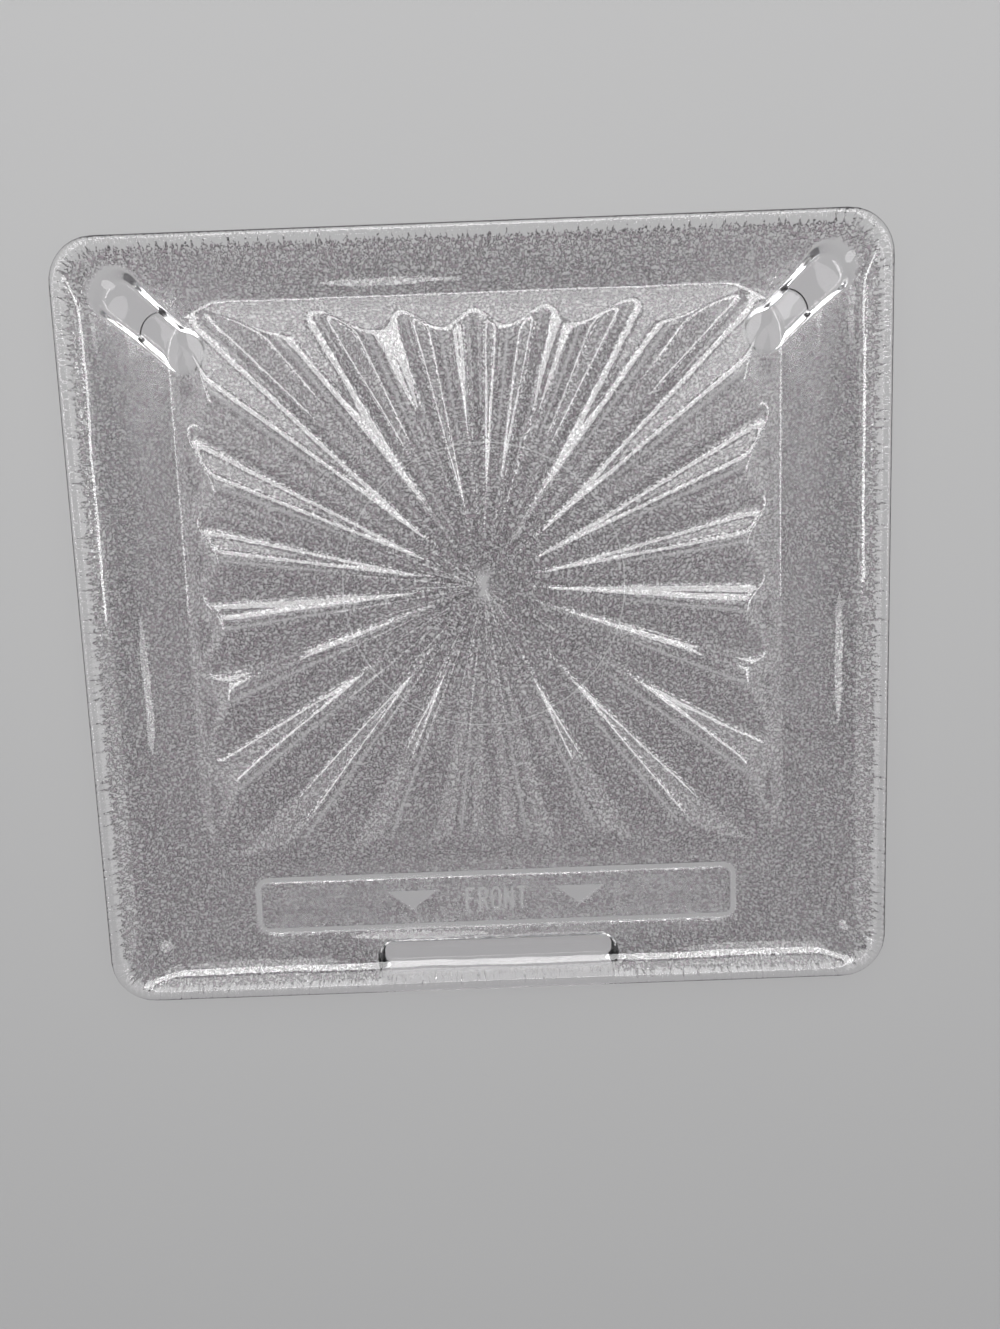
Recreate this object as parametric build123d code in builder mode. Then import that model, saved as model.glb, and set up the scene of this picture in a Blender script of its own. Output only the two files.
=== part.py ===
"""Square pressed-glass microwave oven tray, modelled lying on its feet.

One piece of glass: a shallow cove rises all round to a rounded rim, a raised panel in the
middle carries a sunburst of radial flutes, and three feet stand under it, one lug in each
rear corner and a bar along the front. X runs left to right, Y front to rear, Z up, with the
origin under the middle of the outline, at the level that the feet stand on.
"""

import os
from math import asin, atan, cos, hypot, pi, radians, sin, sqrt, tan

from build123d import *

# Outline and wall
tray_width = 381.0
tray_depth = 362.0
glass = 5.0
rim_corner_radius = 21.0

# Cove between the flat floor and the rim, drawn through a few outlines
cove_radius = 45.0
cove_width = 33.0
floor_corner_radius = 12.0
cove_steps = 7

# Rim: an upright edge with rounded corners
rim_edge = 2.7
rim_outer_round = 2.0
rim_inner_round = 3.5
rim_under_round = 1.2

# Raised panel in the middle of the floor
side_border = 50.0
front_border = 64.0
rear_border = 29.0
panel_rise = 5.6
panel_wall_run = 15.0
panel_corner_radius = 26.0
panel_skirt = 1.0

# Radial flutes of the sunburst, which widen and deepen from the hub outwards
flute_count = 24
flute_depth = 3.6
flute_depth_radius = 130.0
crest_width = 3.4
hub_radius = 16.0

# Feet: how far they stand below the floor
foot_drop = 5.0

# Lug foot in each rear corner
lug_side_inset = 43.5
lug_rear_inset = 40.0
lug_angle = 42.0
lug_width = 12.5
lug_pad_length = 15.6
lug_nose_run = 12.0
lug_step = 1.6
lug_step_run = 0.8
lug_tail_run = 20.0
lug_tail_rise = 3.2
lug_draft = 39.0
lug_bevel = 0.8

# Foot bar along the front
bar_length = 115.0
bar_width = 11.0
bar_front_inset = 8.5
bar_corner_radius = 4.5
bar_draft = 18.0
bar_bevel = 0.8

# Moulded frame under the front border
frame_length = 240.0
frame_width = 29.0
frame_front_inset = 27.5
frame_band = 2.6
frame_corner_radius = 6.0
frame_height = 0.8
frame_draft = 32.0
frame_root = 1.0

# Levels and places that follow from those sizes
floor_under = foot_drop
floor_top = floor_under + glass
cove_centre = floor_top + cove_radius
under_radius = cove_radius + glass
shoulder = cove_centre - sqrt(under_radius**2 - cove_width**2)
rim_top = shoulder + rim_edge
rim_land = cove_width - sqrt(cove_radius**2 - (cove_centre - rim_top) ** 2)
panel_width = tray_width - 2 * side_border
panel_depth = tray_depth - front_border - rear_border
panel_y = (front_border - rear_border) / 2
crest = floor_top + panel_rise
bar_y = -tray_depth / 2 + bar_front_inset + bar_width / 2
frame_y = -tray_depth / 2 + frame_front_inset + frame_width / 2

# Cone of a flute: its lowest line falls outwards and its sides leave a crest to each neighbour
flute_run = flute_depth_radius - hub_radius
flute_reach = hypot(panel_width, panel_depth) / 2
flute_fall = atan(flute_depth / flute_run)
flute_spread = atan((flute_depth_radius * tan(pi / flute_count) - crest_width / 2) / flute_run)
cone_tilt = atan((cos(flute_fall) - cos(flute_spread)) / sin(flute_fall))
cone_radius = flute_reach * tan(cone_tilt + flute_fall)


def corner_at(inset):
    """Corner radius of the tray's outline at a distance inside the rim's edge."""
    return rim_corner_radius + (floor_corner_radius - rim_corner_radius) * inset / cove_width


# Space of one flute: a cone that leans up and outwards from its tip on the hub
flute_plane = Plane((hub_radius, 0, crest), z_dir=(cos(cone_tilt), 0, sin(cone_tilt)))
with BuildPart(flute_plane) as flute:
    Cone(0, cone_radius, flute_reach, align=(Align.CENTER, Align.CENTER, Align.MIN))

# Raised panel with sloping edges, fluted all round the hub
with BuildPart() as panel:
    with BuildSketch(Plane.XY.offset(floor_top)) as panel_foot:
        RectangleRounded(panel_width, panel_depth, panel_corner_radius)
    with BuildSketch(Plane.XY.offset(crest)):
        RectangleRounded(
            panel_width - 2 * panel_wall_run,
            panel_depth - 2 * panel_wall_run,
            panel_corner_radius - panel_wall_run,
        )
    loft(ruled=True)
    extrude(panel_foot.sketch, amount=-panel_skirt)
    with PolarLocations(0, flute_count):
        add(flute.part, mode=Mode.SUBTRACT)

# Plunger that presses the inside: the flat floor with the panel in it, and the cove up past the rim
plunger_sweep = asin((cove_width - rim_land / 2) / cove_radius)
with BuildPart() as plunger:
    for step in range(cove_steps + 1):
        angle = plunger_sweep * step / cove_steps
        inset = cove_width - cove_radius * sin(angle)
        with BuildSketch(Plane.XY.offset(cove_centre - cove_radius * cos(angle))):
            RectangleRounded(tray_width - 2 * inset, tray_depth - 2 * inset, corner_at(inset))
    loft()
    with Locations((0, panel_y, 0)):
        add(panel.part, mode=Mode.SUBTRACT)

# Lug of the rear right corner: drafted sides, and a sole of sloping nose, flat pad, step and tail
lug_plane = Plane(
    origin=(tray_width / 2 - lug_side_inset, tray_depth / 2 - lug_rear_inset, 0),
    x_dir=(cos(radians(lug_angle)), sin(radians(lug_angle)), 0),
)
nose_end = -lug_pad_length / 2 - lug_nose_run
tail_end = lug_pad_length / 2 + lug_tail_run
nose_slope = foot_drop / lug_nose_run
tail_slope = (lug_tail_rise - lug_step) / (lug_tail_run - lug_step_run)
with BuildPart() as rear_lug:
    with BuildSketch(lug_plane):
        with Locations(((nose_end + tail_end) / 2, 0)):
            SlotOverall(tail_end - nose_end, lug_width)
    extrude(amount=(floor_top + crest) / 2, taper=-lug_draft)
    with BuildSketch(Plane(lug_plane.origin, x_dir=lug_plane.x_dir, z_dir=-lug_plane.y_dir)):
        with BuildLine():
            Polyline(
                (nose_end - lug_width, rim_top),
                (nose_end - lug_width, foot_drop + lug_width * nose_slope),
                (-lug_pad_length / 2, 0),
                (lug_pad_length / 2, 0),
                (lug_pad_length / 2 + lug_step_run, lug_step),
                (tail_end + lug_width, lug_tail_rise + lug_width * tail_slope),
                (tail_end + lug_width, rim_top),
                close=True,
            )
        make_face()
    extrude(amount=2 * lug_width, both=True, mode=Mode.INTERSECT)
    chamfer(rear_lug.faces().sort_by(Axis.Z)[0].edges(), lug_bevel)

# Foot bar under the front cove, drafted all round
with BuildPart() as front_bar:
    with BuildSketch(Plane((0, bar_y, 0))):
        RectangleRounded(bar_length, bar_width, bar_corner_radius)
    extrude(amount=rim_top, taper=-bar_draft)
    chamfer(front_bar.edges().group_by(Axis.Z)[0], bar_bevel)

# Frame bead, moulded proud of the underside
with BuildPart() as label_frame:
    with BuildSketch(Plane((0, frame_y, floor_under - frame_height))):
        RectangleRounded(frame_length, frame_width, frame_corner_radius)
    extrude(amount=frame_height + frame_root, taper=-frame_draft)
    with BuildSketch(Plane((0, frame_y, floor_under - frame_height))):
        RectangleRounded(
            frame_length - 2 * frame_band,
            frame_width - 2 * frame_band,
            frame_corner_radius - frame_band,
        )
    extrude(amount=frame_height + frame_root, taper=frame_draft, mode=Mode.SUBTRACT)

# The tray: a coved slab, recessed under the panel, with its feet, pressed inside, rim and frame
under_sweep = asin(cove_width / under_radius)
with BuildPart() as glass_tray:
    for step in range(cove_steps + 1):
        angle = under_sweep * step / cove_steps
        inset = cove_width - under_radius * sin(angle)
        with BuildSketch(Plane.XY.offset(cove_centre - under_radius * cos(angle))):
            RectangleRounded(tray_width - 2 * inset, tray_depth - 2 * inset, corner_at(inset))
    loft()
    with BuildSketch(Plane.XY.offset(shoulder)):
        RectangleRounded(tray_width, tray_depth, rim_corner_radius)
    extrude(amount=rim_edge)
    with Locations((0, panel_y, -glass)):
        add(panel.part, mode=Mode.SUBTRACT)
    add(rear_lug.part)
    mirror(rear_lug.part, about=Plane.YZ)
    add(front_bar.part)
    add(plunger.part, mode=Mode.SUBTRACT)
    fillet(glass_tray.edges().filter_by_position(Axis.Z, shoulder - 0.01, shoulder + 0.01), rim_under_round)
    rim = glass_tray.faces().sort_by(Axis.Z)[-1]
    fillet(rim.outer_wire().edges(), min(rim_outer_round, 0.55 * rim_land, 0.7 * rim_edge))
    rim = glass_tray.faces().sort_by(Axis.Z)[-1]
    fillet(rim.inner_wires()[0].edges(), min(rim_inner_round, rim_land))
    add(label_frame.part)

os.makedirs("parts", exist_ok=True)
glass_tray.part.label = "glass_tray"
export_step(glass_tray.part, "parts/glass_tray.step")
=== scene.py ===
from math import radians

import bpy
import numpy as np
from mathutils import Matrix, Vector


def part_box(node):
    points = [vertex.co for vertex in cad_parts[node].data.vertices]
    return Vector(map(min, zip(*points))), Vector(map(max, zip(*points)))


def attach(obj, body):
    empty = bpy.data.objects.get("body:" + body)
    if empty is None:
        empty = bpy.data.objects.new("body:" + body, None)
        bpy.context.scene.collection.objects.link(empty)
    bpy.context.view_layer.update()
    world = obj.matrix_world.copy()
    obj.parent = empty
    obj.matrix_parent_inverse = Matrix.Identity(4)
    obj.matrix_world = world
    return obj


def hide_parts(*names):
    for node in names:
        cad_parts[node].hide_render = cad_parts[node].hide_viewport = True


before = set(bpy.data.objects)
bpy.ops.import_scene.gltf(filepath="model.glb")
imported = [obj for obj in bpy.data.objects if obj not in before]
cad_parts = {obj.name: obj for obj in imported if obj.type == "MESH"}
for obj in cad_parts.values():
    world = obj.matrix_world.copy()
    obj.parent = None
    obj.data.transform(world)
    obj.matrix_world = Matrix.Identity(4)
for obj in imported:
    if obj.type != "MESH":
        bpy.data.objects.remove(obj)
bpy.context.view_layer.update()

# Glass tray, form of the inside
# One pressing of clear glass, 5 mm thick. The plunger leaves a smooth, slightly wavy inside: a flat
# floor, a cove up to the rim, and a raised panel with a sunburst of radial flutes. Millimetres.
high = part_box("glass_tray")[1]
half_width = 1000 * high[0]
half_depth = 1000 * high[1]
rim_top = 1000 * high[2]
glass = 5.0
floor_under = 5.0
floor_top = floor_under + glass
rim_corner = 21.0
floor_corner = 12.0
cove_radius = 45.0
cove_width = 33.0
cove_centre = floor_top + cove_radius
side_border = 50.0
front_border = 64.0
rear_border = 29.0
panel_half_width = half_width - side_border
panel_half_depth = half_depth - (front_border + rear_border) / 2
panel_y = (front_border - rear_border) / 2
panel_corner = 26.0
panel_rise = 5.6
panel_wall_run = 15.0
panel_crown_blend = 1.4
panel_toe_blend = 1.0
flute_count = 24
flute_pitch = 2.0 * np.pi / flute_count
flute_slope = 3.6 / 119.0
hub_radius = 11.0
hub_blend = 4.0
long_swell_height = 0.07
short_swell_height = 0.04


def smooth_max(a, b, blend):
    """The larger of two heights, with the crease between them rounded over the blend's height."""
    share = np.clip(0.5 + 0.5 * (a - b) / blend, 0.0, 1.0)
    return b + (a - b) * share + blend * share * (1.0 - share)


def smooth_min(a, b, blend):
    """The smaller of two heights, with the crease between them rounded over the blend's height."""
    return -smooth_max(-a, -b, blend)


def fade(value, start, stop):
    """Share that rises from 0 at the start to 1 at the stop."""
    return np.clip((value - start) / (stop - start), 0.0, 1.0)


def inside_of(x, y, half_x, half_y, corner):
    """Distance of points inside a rectangle with round corners, negative outside it."""
    over_x = np.abs(x) - half_x + corner
    over_y = np.abs(y) - half_y + corner
    beyond = np.hypot(np.maximum(over_x, 0.0), np.maximum(over_y, 0.0))
    return corner - beyond - np.minimum(np.maximum(over_x, over_y), 0.0)


def rim_inset(x, y):
    """Distance inside the rim, by outlines whose corners tighten from the rim to the floor.

    The outline at inset i has the corner radius rim_corner - k i, so that on a corner
    (a + c i)^2 + (b + c i)^2 = (rim_corner - k i)^2, or p i^2 + q i + r = 0, solved for i.
    """
    k = (rim_corner - floor_corner) / cove_width
    c = 1.0 - k
    a = np.abs(x) - half_width + rim_corner
    b = np.abs(y) - half_depth + rim_corner
    straight = rim_corner - np.maximum(a, b)
    p = 2.0 * c * c - k * k
    q = 2.0 * c * (a + b) + 2.0 * k * rim_corner
    r = a * a + b * b - rim_corner**2
    corner = (-q + np.sqrt(np.maximum(q * q - 4.0 * p * r, 0.0))) / (2.0 * p)
    on_corner = np.minimum(a, b) + c * straight > 0.0
    return np.where(on_corner, corner, straight)


def cove_level(inset, radius):
    """Height of the cove's arc about its centre line, flat once the floor is reached."""
    run = np.maximum(cove_width - inset, 0.0)
    return cove_centre - np.sqrt(radius**2 - np.minimum(run, 0.99 * radius) ** 2)


def flute_turn(x, y):
    """Angle round the hub from the nearest flute's lowest line."""
    turn = np.arctan2(y - panel_y, x) / flute_pitch
    return (turn - np.round(turn)) * flute_pitch


def flute_depth(x, y):
    """Depth below the crests: a cosine wave round the hub that deepens in step with the radius."""
    offset = flute_turn(x, y)
    wave = 0.5 + 0.5 * np.cos(np.pi * np.tan(offset) / np.tan(flute_pitch / 2))
    run = np.hypot(x, y - panel_y) * np.cos(offset) - hub_radius
    return flute_slope * 0.5 * (run + np.hypot(run, hub_blend)) * wave


def panel_inset(x, y):
    """Distance inside the panel's foot."""
    return inside_of(x, y - panel_y, panel_half_width, panel_half_depth, panel_corner)


def panel_height(x, y):
    """Height of the panel over the floor: a sloping edge, rounded into the fluted top."""
    wall = panel_rise * panel_inset(x, y) / panel_wall_run
    return smooth_min(wall, panel_rise - flute_depth(x, y), panel_crown_blend)


def pressing_wave(x, y):
    """Slight unevenness of pressed glass: long and short swells that bend into one another."""
    long_swell = np.sin(x / 13.0 + 1.3 * np.sin(y / 29.0)) + np.sin(y / 12.0 + 1.1 * np.sin(x / 31.0))
    short_swell = np.sin(x / 5.1 + 1.7 * np.sin(y / 11.0)) * np.sin(y / 4.7 + 1.4 * np.sin(x / 13.0))
    return long_swell_height * long_swell + short_swell_height * short_swell


def inside_level(x, y):
    """Height of the inside: the floor and cove, or the panel where that stands higher."""
    inset = rim_inset(x, y)
    level = smooth_max(cove_level(inset, cove_radius), floor_top + panel_height(x, y), panel_toe_blend)
    return level + pressing_wave(x, y) * fade(inset, 5.0, 13.0)


# Glass tray, form of the underside
# The mould leaves the underside stippled, 5 mm below the inside, with a smooth bar foot along the
# front, a smooth lug foot in each rear corner, and a frame round the raised front mark.
lug_side_inset = 43.5
lug_rear_inset = 40.0
lug_spot = (half_width - lug_side_inset, half_depth - lug_rear_inset)
lug_angle = radians(42.0)
lug_half_width = 6.25
lug_pad_half = 7.8
lug_pad_bow = 0.05
lug_nose_run = 12.0
lug_step = 1.6
lug_step_run = 0.8
lug_tail_run = 20.0
lug_tail_rise = 3.2
lug_draft = np.tan(radians(39.0))
lug_sole_blend = 0.3
bar_half_length = 57.5
bar_half_width = 5.5
bar_front_inset = 8.5
bar_y = -half_depth + bar_front_inset + bar_half_width
bar_corner = 4.5
bar_draft = np.tan(radians(18.0))
foot_blend = 0.8
frame_half_length = 120.0
frame_half_width = 14.5
frame_front_inset = 27.5
frame_y = -half_depth + frame_front_inset + frame_half_width
frame_corner = 6.0
frame_band_half = 1.3
frame_flank = 0.5
frame_height = 0.8
mark_height = 0.7
mark_edge = 0.5


def lug_level(x, y):
    """Height of the lug's sole: nose, flat pad with a bowed end, step and tail, between drafted sides."""
    right = np.abs(x) - lug_spot[0]
    rear = y - lug_spot[1]
    along = right * np.cos(lug_angle) + rear * np.sin(lug_angle)
    across = rear * np.cos(lug_angle) - right * np.sin(lug_angle)
    nose = (-lug_pad_half - along) * floor_under / lug_nose_run
    past_pad = along - lug_pad_half + lug_pad_bow * across**2
    tail_slope = (lug_tail_rise - lug_step) / (lug_tail_run - lug_step_run)
    tail = np.minimum(past_pad * lug_step / lug_step_run, lug_step + (past_pad - lug_step_run) * tail_slope)
    sole = smooth_max(np.maximum(nose, tail), 0.0, lug_sole_blend)
    half_length = lug_pad_half + (lug_nose_run + lug_tail_run) / 2
    middle = (lug_tail_run - lug_nose_run) / 2
    side = -inside_of(along - middle, across, half_length, lug_half_width, lug_half_width)
    return smooth_max(sole, side / lug_draft, foot_blend)


def bar_level(x, y):
    """Height of the bar's sole and of its drafted sides."""
    side = -inside_of(x, y - bar_y, bar_half_length, bar_half_width, bar_corner)
    return smooth_max(side / bar_draft, 0.0, foot_blend)


def frame_bead(x, y):
    """Share of the bead's height: 1 on the flat of the band, falling on its flanks to 0 beside it."""
    half_x = frame_half_length - frame_band_half
    half_y = frame_half_width - frame_band_half
    middle = inside_of(x, y - frame_y, half_x, half_y, frame_corner - frame_band_half)
    ramp = fade(-np.abs(middle), -frame_band_half - frame_flank, -frame_band_half)
    return ramp * ramp * (3.0 - 2.0 * ramp)


# Strokes of the word, as lines through a letter's box of 1 by 1
letter_strokes = {
    "F": [((0, 0), (0, 1)), ((0, 1), (1, 1)), ((0, 0.52), (0.8, 0.52))],
    "R": [
        ((0, 0), (0, 1)), ((0, 1), (0.7, 1)), ((0.7, 1), (1, 0.88)), ((1, 0.88), (1, 0.6)),
        ((1, 0.6), (0.7, 0.48)), ((0.7, 0.48), (0, 0.48)), ((0.55, 0.48), (1, 0)),
    ],
    "O": [
        ((0, 0.16), (0, 0.84)), ((0, 0.84), (0.25, 1)), ((0.25, 1), (0.75, 1)), ((0.75, 1), (1, 0.84)),
        ((1, 0.84), (1, 0.16)), ((1, 0.16), (0.75, 0)), ((0.75, 0), (0.25, 0)), ((0.25, 0), (0, 0.16)),
    ],
    "N": [((0, 0), (0, 1)), ((0, 1), (1, 0)), ((1, 0), (1, 1))],
    "T": [((0, 1), (1, 1)), ((0.5, 0), (0.5, 1))],
}
word = "FRONT"
word_y = -138.6
letter_pitch = 6.4
letter_width = 3.6
letter_height = 10.4
stroke_half = 0.7
arrow_x = 42.0
arrow_top = -133.4
arrow_half_width = 13.0
arrow_length = 10.0


def stroke_distance(x, y):
    """Distance to the nearest stroke of the word: each stroke is a line between two points."""
    nearest = np.full(x.shape, 1e3)
    for place, letter in enumerate(word):
        left = (place - (len(word) - 1) / 2) * letter_pitch - letter_width / 2
        for start, end in letter_strokes[letter]:
            ax = left + start[0] * letter_width
            ay = word_y + (start[1] - 0.5) * letter_height
            run = (end[0] - start[0]) * letter_width
            rise = (end[1] - start[1]) * letter_height
            share = np.clip(((x - ax) * run + (y - ay) * rise) / (run * run + rise * rise), 0.0, 1.0)
            nearest = np.minimum(nearest, np.hypot(x - ax - share * run, y - ay - share * rise))
    return nearest


def arrow_inside(x, y):
    """Distance inside the two triangles that point to the front, negative outside them."""
    beside = np.abs(np.abs(x) - arrow_x)
    slant = np.hypot(arrow_half_width, arrow_length)
    below = ((arrow_half_width - beside) * arrow_length - (arrow_top - y) * arrow_half_width) / slant
    return np.minimum(arrow_top - y, below)


def front_mark(x, y, margin):
    """Share of the mark, with a margin: 1 on the word's strokes and the triangles, 0 beside them."""
    inside = np.maximum(stroke_half - stroke_distance(x, y), arrow_inside(x, y)) + margin
    ramp = np.clip(0.5 + inside / mark_edge, 0.0, 1.0)
    return ramp * ramp * (3.0 - 2.0 * ramp)


def under_level(x, y):
    """Height of the underside: one glass below the inside, less the feet, frame and mark."""
    cove = cove_level(rim_inset(x, y), cove_radius + glass)
    body = smooth_max(cove, floor_under + panel_height(x, y), panel_toe_blend)
    body = body - frame_height * frame_bead(x, y) - mark_height * front_mark(x, y, 0.0)
    return smooth_min(body, np.minimum(lug_level(x, y), bar_level(x, y)), foot_blend)


# Glass tray, mesh
# The two faces and the rounded rim are one closed skin, drawn on rays from the hub, which run
# along the flutes, and on rings that change from the panel's outline to the rim's outline. Under
# the borders there are more rays to the feet, the frame's ends and the front mark.
rays_per_flute = 16
main_degrees = np.arange(flute_count * rays_per_flute) * 360.0 / (flute_count * rays_per_flute) - 180.0
finer_sectors = [
    (-131.0, -124.0, 7), (-110.5, -69.5, 4), (-97.0, -83.5, 8), (-56.0, -49.0, 7),
    (35.0, 45.5, 5), (134.5, 145.0, 5),
]
parts = np.ones(len(main_degrees), dtype=int)
for start, stop, count in finer_sectors:
    parts[(main_degrees >= start) & (main_degrees < stop)] = count
first_part = np.cumsum(parts) - parts
part_number = np.arange(parts.sum()) - np.repeat(first_part, parts)
main_step = main_degrees[1] - main_degrees[0]
fine_degrees = np.repeat(main_degrees, parts) + main_step * part_number / np.repeat(parts, parts)


def reach_to(degrees, distance_at, target):
    """Radius along every ray at which a distance inside an outline has fallen to the target."""
    ray_x = np.cos(np.radians(degrees))
    ray_y = np.sin(np.radians(degrees))
    near = np.zeros(degrees.shape)
    far = np.full(degrees.shape, 320.0)
    for _ in range(40):
        middle = (near + far) / 2
        within = distance_at(middle * ray_x, panel_y + middle * ray_y) > target
        near = np.where(within, middle, near)
        far = np.where(within, far, middle)
    return middle


def on_rays(degrees, radii):
    """Places of radii along the rays, as x and y."""
    return radii * np.cos(np.radians(degrees)), panel_y + radii * np.sin(np.radians(degrees))


# Rim profile: a round inside edge, a round outside edge and a small round under it
inner_round = 3.5
outer_round = 1.9
rim_land = 1.4
under_round = 1.2
rim_edge = 2.7
round_overlap = 0.85
cove_start = inner_round + outer_round - round_overlap
inner_start = np.arcsin((cove_width - cove_start) / cove_radius)
shoulder_turn = np.pi / 2 - np.arcsin(cove_width / (cove_radius + glass))
inner_turns = np.linspace(inner_start, 0.0, 5)
outer_turns = np.linspace(0.0, np.pi / 2, 6)
under_turns = np.linspace(0.0, shoulder_turn, 4)
edge_end = rim_top - rim_edge + under_round * np.tan(shoulder_turn / 2)
rim_insets = np.concatenate([
    outer_round + rim_land + inner_round * np.sin(inner_turns),
    outer_round * (1.0 - np.sin(outer_turns)),
    under_round * (1.0 - np.cos(under_turns)),
])
rim_levels = np.concatenate([
    rim_top - inner_round * (1.0 - np.cos(inner_turns)),
    rim_top - outer_round * (1.0 - np.cos(outer_turns)),
    edge_end - under_round * np.sin(under_turns),
])

# Rings: shares of the way from the hub to the panel's crown, to its toe and to the rim. Under the front
# border they lie close along the frame, the mark and the bar, and at the rear along the lugs.
crown_inset = 18.0
toe_inset = -4.0
hub_shares = np.array([
    0.03, 0.06, 0.09, 0.12, 0.15, 0.18, 0.22, 0.27, 0.33, 0.4, 0.48, 0.56, 0.64, 0.72, 0.8, 0.87, 0.94,
])
wall_shares = np.linspace(0.0, 1.0, 14)
cove_shares = np.linspace(0.0, 1.0, 24)[1:-1]
front_toe = -half_depth + front_border + toe_inset
front_rim = -half_depth + rim_insets[-1]
flank_rows = frame_band_half + frame_flank * np.array([1.1, 0.75, 0.5, 0.25, -0.1])
bead_rows = np.concatenate([flank_rows, [0.0], -flank_rows[::-1]])
bead_run = frame_half_width - frame_band_half
mark_rows = np.concatenate([
    [-122.6], frame_y + bead_run + bead_rows,
    [-129.0, -130.4, -131.6], np.linspace(-132.4, -144.6, 28), [-146.0, -147.4, -148.8],
    frame_y - bead_run + bead_rows, [-156.0, -158.0],
    np.arange(-160.0, -174.0, -1.0), [-175.5, -177.5, -179.3],
])
row_shares = (front_toe - mark_rows) / (front_toe - front_rim)
lug_shares = np.interp(
    np.linspace(0.0, 1.0, len(row_shares)),
    [0.0, 0.18, 0.58, 0.73, 0.94, 1.0], [row_shares[0], 0.18, 0.34, 0.55, 0.7, row_shares[-1]],
)
front_turn = fade(-np.sin(np.radians(fine_degrees)), 0.3, 0.7)
border_shares = lug_shares[:, None] + front_turn * (row_shares - lug_shares)[:, None]

crown = reach_to(main_degrees, panel_inset, crown_inset)
toe = reach_to(main_degrees, panel_inset, toe_inset)
fine_crown = reach_to(fine_degrees, panel_inset, crown_inset)
fine_toe = reach_to(fine_degrees, panel_inset, toe_inset)
fine_rim = reach_to(fine_degrees, rim_inset, rim_insets[-1])
rim_reaches = np.array([reach_to(main_degrees, rim_inset, inset) for inset in rim_insets])

top_radii = np.concatenate([
    hub_shares[:, None] * crown,
    crown + wall_shares[:, None] * (toe - crown),
    toe + cove_shares[:, None] * (rim_reaches[0] - toe),
])
border_radii = np.concatenate([
    fine_toe + border_shares[::-1] * (fine_rim - fine_toe),
    fine_crown + wall_shares[::-1, None] * (fine_toe - fine_crown),
])
under_panel_radii = hub_shares[::-2, None] * crown

top_x, top_y = on_rays(main_degrees, top_radii)
rim_x, rim_y = on_rays(main_degrees, rim_reaches)
border_x, border_y = on_rays(fine_degrees, border_radii)
panel_x, under_panel_y = on_rays(main_degrees, under_panel_radii)
rim_z = np.repeat(rim_levels[:, None], len(main_degrees), axis=1)
hub_place = (np.zeros(1), np.array([panel_y]))


def as_points(x, y, z):
    """Rows of x, y, z from three grids."""
    return np.stack([np.ravel(x), np.ravel(y), np.ravel(z)], axis=-1)


points = np.concatenate([
    as_points(top_x, top_y, inside_level(top_x, top_y)),
    as_points(rim_x, rim_y, rim_z),
    as_points(border_x, border_y, under_level(border_x, border_y)),
    as_points(panel_x, under_panel_y, under_level(panel_x, under_panel_y)),
    as_points(*hub_place, inside_level(*hub_place)),
    as_points(*hub_place, under_level(*hub_place)),
])
top_count = top_x.size + rim_x.size
above = np.arange(top_count).reshape(-1, len(main_degrees))
border = top_count + np.arange(border_x.size).reshape(border_x.shape)
beneath = top_count + border_x.size + np.arange(panel_x.size).reshape(panel_x.shape)
hub_top = len(points) - 2
hub_under = len(points) - 1


def quads_of(grid):
    """Four-sided faces of a closed grid of point numbers, in the order ring by ring."""
    beside = np.roll(grid, -1, axis=1)
    return np.stack([grid[:-1], grid[1:], beside[1:], beside[:-1]], axis=-1).reshape(-1, 4)


def stitch(ring, fine_ring):
    """Triangles from a ring on the main rays out to one on the finer rays: a fan from each main point."""
    fan = np.stack([np.repeat(ring, parts), fine_ring, np.roll(fine_ring, -1)], axis=-1)
    gap = np.stack([ring, np.roll(fine_ring[first_part], -1), np.roll(ring, -1)], axis=-1)
    return np.concatenate([fan, gap])


top_hub = np.full(len(main_degrees), hub_top)
top_fan = np.stack([top_hub, above[0], np.roll(above[0], -1)], axis=-1)
under_hub = np.full(len(main_degrees), hub_under)
under_fan = np.stack([under_hub, np.roll(beneath[-1], -1), beneath[-1]], axis=-1)
faces = quads_of(above).tolist() + quads_of(border).tolist() + quads_of(beneath).tolist()
faces += stitch(above[-1], border[0]).tolist() + stitch(beneath[0], border[-1])[:, ::-1].tolist()
faces += top_fan.tolist() + under_fan.tolist()

tray_mesh = bpy.data.meshes.new("glass_tray_pressing")
tray_mesh.from_pydata((points / 1000.0).tolist(), [], faces)
tray_mesh.polygons.foreach_set("use_smooth", np.ones(len(tray_mesh.polygons), dtype=bool))

# Share of the stipple at each point: full on the underside, none on the feet, mark, rim and inside.
# The mould was polished at the hub and along the crests, so those are smooth there too.
stripe_half = 1.3
stripe_edge = 0.7
stripe_polish = 0.85
hub_spot_half = (3.2, 7.0)
mark_margin = 0.2
px, py, pz = points.T
reach = np.hypot(px, py - panel_y)
crest_gap = reach * np.abs(np.sin(flute_pitch / 2 - np.abs(flute_turn(px, py))))
crest_stripe = fade(-crest_gap, -stripe_half, stripe_edge - stripe_half)
crest_stripe *= fade(reach, 50.0, 80.0)
crest_stripe *= fade(panel_inset(px, py), 12.0, 18.0)
hub_gap = np.hypot(px / hub_spot_half[0], (py - panel_y) / hub_spot_half[1])
off_hub = fade(hub_gap, 0.7, 1.3)
feet = np.minimum(lug_level(px, py), bar_level(px, py))
off_feet = fade(feet - pz, 0.2, 1.0)
off_mark = (1.0 - front_mark(px, py, mark_margin)) * (1.0 - frame_bead(px, py))
is_under = (np.arange(len(points)) >= top_count) & (np.arange(len(points)) != hub_top)
stipple_share = is_under * off_hub * off_feet * off_mark * (1.0 - stripe_polish * crest_stripe)
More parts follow.
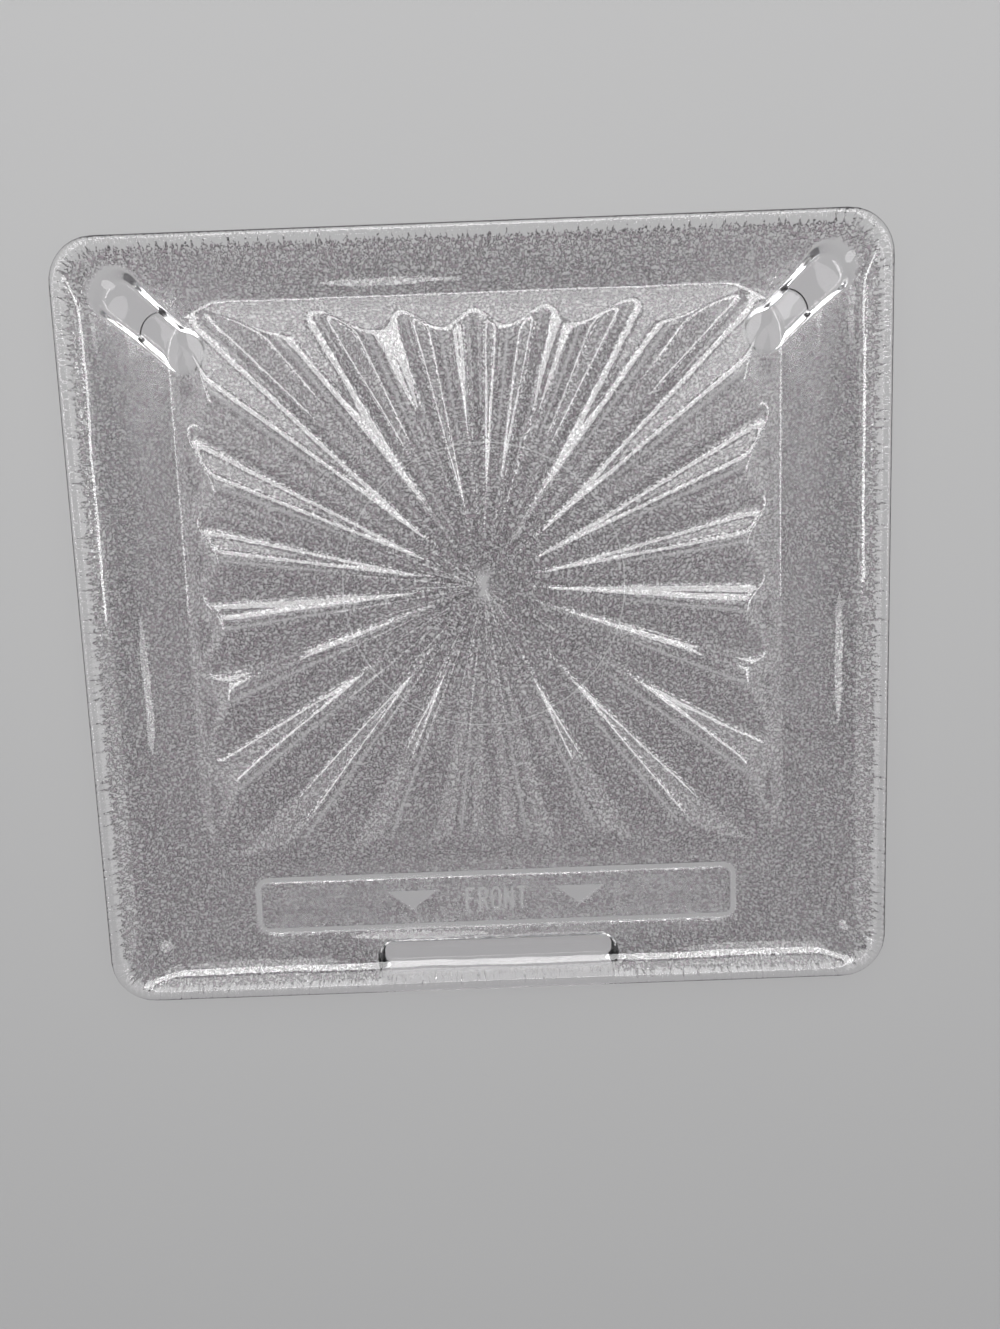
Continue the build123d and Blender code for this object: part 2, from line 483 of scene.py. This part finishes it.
stipple = tray_mesh.attributes.new("stipple", "FLOAT", "POINT")
stipple.data.foreach_set("value", stipple_share.astype(np.float32))

# Share of the ripple that the cooling edge shows, full on the rim and none past the first of the cove,
# and the spot of the rim's outline that each point is nearest to, in metres
ripple_full = 2.6
ripple_end = 6.6
ripple_share = fade(-rim_inset(px, py), -ripple_end, -ripple_full)
ripple = tray_mesh.attributes.new("ripple", "FLOAT", "POINT")
ripple.data.foreach_set("value", ripple_share.astype(np.float32))
corner_spot = np.stack([
    np.clip(px, rim_corner - half_width, half_width - rim_corner),
    np.clip(py, rim_corner - half_depth, half_depth - rim_corner),
    np.zeros(len(points)),
], axis=-1)
outward = points * (1.0, 1.0, 0.0) - corner_spot
outward /= np.maximum(np.linalg.norm(outward, axis=-1, keepdims=True), 0.001)
nearest_rim = (corner_spot + rim_corner * outward) / 1000.0
rim_spot = tray_mesh.attributes.new("rim_spot", "FLOAT_VECTOR", "POINT")
rim_spot.data.foreach_set("vector", np.ravel(nearest_rim).astype(np.float32))

tray = bpy.data.objects.new("glass_tray_pressing", tray_mesh)
bpy.context.collection.objects.link(tray)

# Glass tray, clear pressed glass
# Colourless glass. The inside is fire-polished, the underside has the mould's pebbled stipple, painted
# darker with a faint violet cast as painted shade, and the mould's hairline ring, and the rim has a fine,
# ragged ripple.
clear_glass = bpy.data.materials.new("clear_pressed_glass")
clear_glass.use_nodes = True
nodes = clear_glass.node_tree.nodes
links = clear_glass.node_tree.links
pebbles_per_metre = 780.0
teeth_per_metre = 520.0
tooth_bite = 0.6
tooth_share = 0.35
stipple_height = 0.0007
ring_radius = 0.067
glass_shader = nodes["Principled BSDF"]
glass_shader.inputs["Roughness"].default_value = 0.0
glass_shader.inputs["IOR"].default_value = 1.5
glass_shader.inputs["Transmission Weight"].default_value = 1.0


def math_node(operation, first, second):
    """A Math node of two inputs, each of which is a plain number or an output of another node."""
    node = nodes.new("ShaderNodeMath")
    node.operation = operation
    for socket, value in zip(node.inputs, (first, second)):
        if isinstance(value, float):
            socket.default_value = value
        else:
            links.new(value, socket)
    return node.outputs["Value"]


def share_of(name):
    """The value of one of the mesh's point attributes."""
    node = nodes.new("ShaderNodeAttribute")
    node.attribute_name = name
    return node.outputs["Fac"]


place = nodes.new("ShaderNodeTexCoord").outputs["Object"]
pebbles = nodes.new("ShaderNodeTexNoise")
pebbles.noise_dimensions = "2D"
pebbles.inputs["Scale"].default_value = pebbles_per_metre
pebbles.inputs["Detail"].default_value = 1.5
pebbles.inputs["Roughness"].default_value = 0.55
pebbles.inputs["Distortion"].default_value = 0.9
links.new(place, pebbles.inputs["Vector"])
relief = nodes.new("ShaderNodeMapRange")
relief.inputs["From Min"].default_value = 0.455
relief.inputs["From Max"].default_value = 0.64
links.new(pebbles.outputs["Fac"], relief.inputs["Value"])

split = nodes.new("ShaderNodeSeparateXYZ")
links.new(place, split.inputs["Vector"])
teeth = nodes.new("ShaderNodeTexNoise")
teeth.noise_dimensions = "2D"
teeth.inputs["Scale"].default_value = teeth_per_metre
teeth.inputs["Detail"].default_value = 1.0
rim_place = nodes.new("ShaderNodeAttribute")
rim_place.attribute_name = "rim_spot"
links.new(rim_place.outputs["Vector"], teeth.inputs["Vector"])
tooth = nodes.new("ShaderNodeMapRange")
tooth.inputs["From Min"].default_value = 0.3
tooth.inputs["From Max"].default_value = 0.7
links.new(teeth.outputs["Fac"], tooth.inputs["Value"])
ripple_of_rim = share_of("ripple")
tooth_height = math_node("MULTIPLY", tooth.outputs["Result"], ripple_of_rim)
ragged = math_node("ADD", ripple_of_rim, math_node("MULTIPLY", tooth.outputs["Result"], tooth_bite))
off_rim = nodes.new("ShaderNodeMapRange")
off_rim.inputs["From Min"].default_value = 1.0
off_rim.inputs["From Max"].default_value = 0.7
links.new(ragged, off_rim.inputs["Value"])

ring_centre = nodes.new("ShaderNodeVectorMath")
ring_centre.operation = "DISTANCE"
flat_place = nodes.new("ShaderNodeCombineXYZ")
links.new(split.outputs["X"], flat_place.inputs["X"])
links.new(split.outputs["Y"], flat_place.inputs["Y"])
links.new(flat_place.outputs["Vector"], ring_centre.inputs[0])
ring_centre.inputs[1].default_value = (0.0, panel_y / 1000.0, 0.0)
ring_gap = math_node("ABSOLUTE", math_node("SUBTRACT", ring_centre.outputs["Value"], ring_radius), 0.0)
hairline = nodes.new("ShaderNodeMapRange")
hairline.inputs["From Min"].default_value = 0.0002
hairline.inputs["From Max"].default_value = 0.0006
links.new(ring_gap, hairline.inputs["Value"])
off_lines = math_node("MULTIPLY", off_rim.outputs["Result"], hairline.outputs["Result"])
stippled = math_node("MULTIPLY", share_of("stipple"), off_lines)
# The pebbles' height drives both the bump and the painted shade in the base colour
pebble_height_and_shade = math_node("MULTIPLY", relief.outputs["Result"], stippled)

height = math_node("ADD", pebble_height_and_shade, math_node("MULTIPLY", tooth_height, tooth_share))
bump = nodes.new("ShaderNodeBump")
bump.inputs["Strength"].default_value = 1.0
bump.inputs["Distance"].default_value = stipple_height
links.new(height, bump.inputs["Height"])
links.new(bump.outputs["Normal"], glass_shader.inputs["Normal"])

# Painted shade: the pebbles darken the base colour, with a faint violet cast, in place of the light that
# the stipple bends away
painted_pebble_shade = nodes.new("ShaderNodeMix")
painted_pebble_shade.data_type = "RGBA"
painted_pebble_shade.inputs["A"].default_value = (0.98, 0.975, 0.98, 1.0)
painted_pebble_shade.inputs["B"].default_value = (0.47, 0.34, 0.42, 1.0)
links.new(pebble_height_and_shade, painted_pebble_shade.inputs["Factor"])
links.new(painted_pebble_shade.outputs["Result"], glass_shader.inputs["Base Color"])

clear_way = nodes.new("ShaderNodeBsdfTransparent")
clear_way.inputs["Color"].default_value = (0.945, 0.94, 0.945, 1.0)
light_path = nodes.new("ShaderNodeLightPath")
unbent = math_node("MAXIMUM", light_path.outputs["Is Shadow Ray"], light_path.outputs["Is Diffuse Ray"])
mix = nodes.new("ShaderNodeMixShader")
links.new(unbent, mix.inputs["Fac"])
links.new(glass_shader.outputs["BSDF"], mix.inputs[1])
links.new(clear_way.outputs["BSDF"], mix.inputs[2])
links.new(mix.outputs["Shader"], nodes["Material Output"].inputs["Surface"])
tray_mesh.materials.append(clear_glass)

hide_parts("glass_tray")
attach(tray, "root")

# Floor
# A plain pale grey sheet at the level that the feet stand on, a hair lower so that no faces coincide.
floor_half = 6.0
floor_level = -0.00002
floor_corners = [
    (-floor_half, -floor_half, floor_level), (floor_half, -floor_half, floor_level),
    (floor_half, floor_half, floor_level), (-floor_half, floor_half, floor_level),
]
floor_mesh = bpy.data.meshes.new("floor")
floor_mesh.from_pydata(floor_corners, [], [(0, 1, 2, 3)])
floor = bpy.data.objects.new("floor", floor_mesh)
bpy.context.collection.objects.link(floor)
sheet_grey = bpy.data.materials.new("pale_grey_sheet")
sheet_grey.use_nodes = True
sheet_shader = sheet_grey.node_tree.nodes["Principled BSDF"]
sheet_shader.inputs["Base Color"].default_value = (0.42, 0.42, 0.42, 1.0)
sheet_shader.inputs["Roughness"].default_value = 0.9
floor_mesh.materials.append(sheet_grey)


# Light
# A wide soft panel behind the tray and a dimmer one to each side, with a bright strip along the
# near edge of each, a small lamp over each rear corner, another in front, and a dim room.
def soft_light(name, shape, place, turn, size_x, size_y, radiance):
    """An area lamp, which shines along its own -Z, with the brightness of its face."""
    lamp = bpy.data.lights.new(name, "AREA")
    lamp.shape = shape
    lamp.size = size_x
    lamp.size_y = size_y
    lamp.energy = radiance * np.pi * size_x * size_y * (np.pi / 4 if shape == "ELLIPSE" else 1.0)
    holder = bpy.data.objects.new(name, lamp)
    holder.location = place
    holder.rotation_euler = [radians(angle) for angle in turn]
    bpy.context.collection.objects.link(holder)


soft_light("rear_panel", "RECTANGLE", (0.0, 1.5, 1.45), (-46.0, 0.0, 0.0), 2.4, 0.95, 3.2)
soft_light("rear_strip", "RECTANGLE", (0.0, 0.95, 1.9), (-27.0, 0.0, 0.0), 2.0, 0.28, 9.0)
soft_light("left_panel", "RECTANGLE", (-1.45, -0.1, 1.6), (0.0, -42.0, 0.0), 1.2, 2.0, 1.15)
soft_light("right_panel", "RECTANGLE", (1.45, -0.1, 1.6), (0.0, 42.0, 0.0), 1.2, 2.0, 1.15)
soft_light("left_strip", "RECTANGLE", (-1.15, 0.35, 1.85), (0.0, -32.0, 0.0), 0.1, 1.0, 9.0)
soft_light("right_strip", "RECTANGLE", (1.15, 0.35, 1.85), (0.0, 32.0, 0.0), 0.1, 1.0, 9.0)
soft_light("left_corner", "ELLIPSE", (-0.6, 0.65, 1.9), (-15.0, -13.0, 0.0), 0.35, 0.35, 2.5)
soft_light("right_corner", "ELLIPSE", (0.6, 0.65, 1.9), (-15.0, 13.0, 0.0), 0.35, 0.35, 2.5)
soft_light("front_lamp", "ELLIPSE", (-0.24, -0.3, 2.0), (9.0, -7.0, 0.0), 0.3, 0.3, 4.0)

room = bpy.data.worlds.new("room")
room.use_nodes = True
room.node_tree.nodes["Background"].inputs["Color"].default_value = (0.15, 0.148, 0.155, 1.0)
bpy.context.scene.world = room
bpy.context.scene.view_settings.view_transform = "Standard"

# Camera
# A phone lens, almost straight over the tray, as in the photograph of 1000 by 1329 pixels.
photo_width = 1000
photo_height = 1329
sensor_size = 36.0
camera_data = bpy.data.cameras.new("camera")
camera_data.sensor_width = sensor_size
camera_data.lens = sensor_size * photo_width / photo_height
camera = bpy.data.objects.new("camera", camera_data)
camera.location = (0.0071, 0.0431, 0.488)
camera.rotation_euler = (radians(-7.6), radians(-0.18), radians(-2.11))
bpy.context.collection.objects.link(camera)
bpy.context.scene.camera = camera
